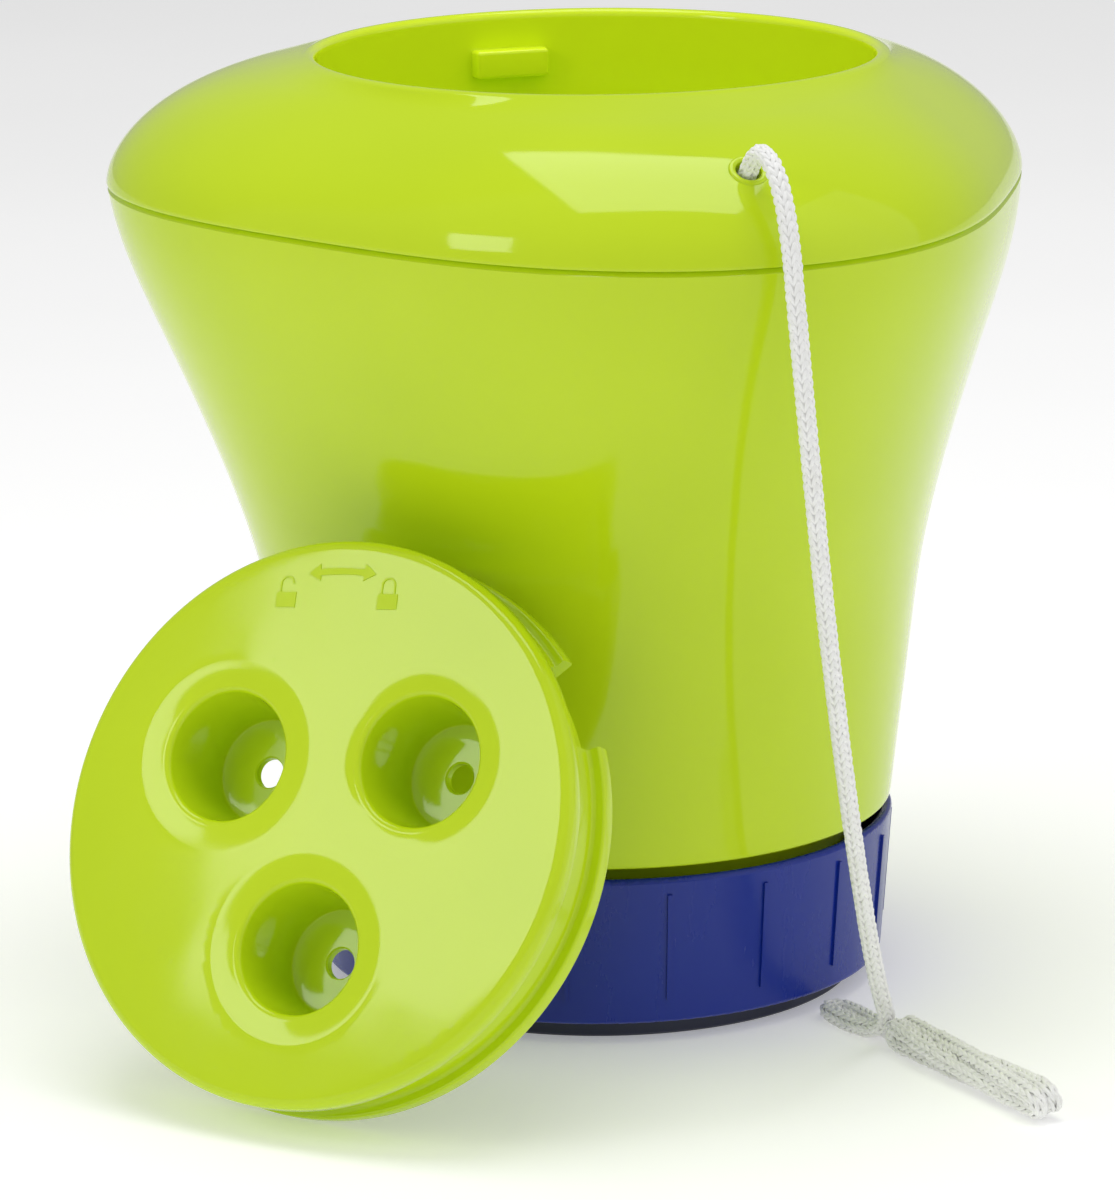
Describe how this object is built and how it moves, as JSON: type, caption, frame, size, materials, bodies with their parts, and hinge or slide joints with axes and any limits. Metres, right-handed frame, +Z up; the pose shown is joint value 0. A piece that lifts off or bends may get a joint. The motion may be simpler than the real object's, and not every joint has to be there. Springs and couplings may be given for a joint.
{
  "type": "floating chlorine dispenser",
  "caption": "Floating pool chlorine dispenser with a three-lobed float, an open throat, a twist regulator ring, a lid with finger wells that leans on it, and a knitted tether cord.",
  "frame": {"origin": "centre of the foot's underside, on the tablet chamber's axis", "axes": "+Z up along the chamber's axis towards the mouth; -Y towards the side with the leaning lid and the tether"},
  "size_m": [0.2089, 0.2381, 0.2073],
  "materials": {
    "green_shell": "glossy injection-moulded polypropylene, slightly translucent lime green",
    "green_inner": "satin injection-moulded polypropylene, lime green",
    "blue_ring": "satin-gloss royal-blue polypropylene",
    "dark_foot": "matte dark navy polypropylene",
    "screw_steel": "stainless steel",
    "seal_rubber": "black rubber",
    "white_cord": "white knitted polypropylene cord"
  },
  "bodies": {
    "float_body": {"float_dome": "green_shell", "hull_shell": "green_shell", "tablet_chamber": "green_inner", "upper_seal": "seal_rubber", "lower_seal": "seal_rubber", "foot_plate": "dark_foot", "foot_screws": "screw_steel", "stopper_knot": "white_cord", "tether_cord": "white_cord", "cord_eye": "white_cord", "cord_hank": "white_cord"},
    "regulator": {"regulator_ring": "blue_ring"},
    "lid_body": {"lid": "green_shell"}
  },
  "joints": [
    {"name": "regulator_turn", "type": "hinge", "parent": "float_body", "child": "regulator", "pos_m": [0, 0, 0.02], "axis": [0, 0, 1], "range_deg": [0, 30]},
    {"name": "lid_lift", "type": "slide", "parent": "float_body", "child": "lid_body", "axis": [-0.4499, -0.7824, 0.4305], "range_m": [0, 0.15]}
  ]
}
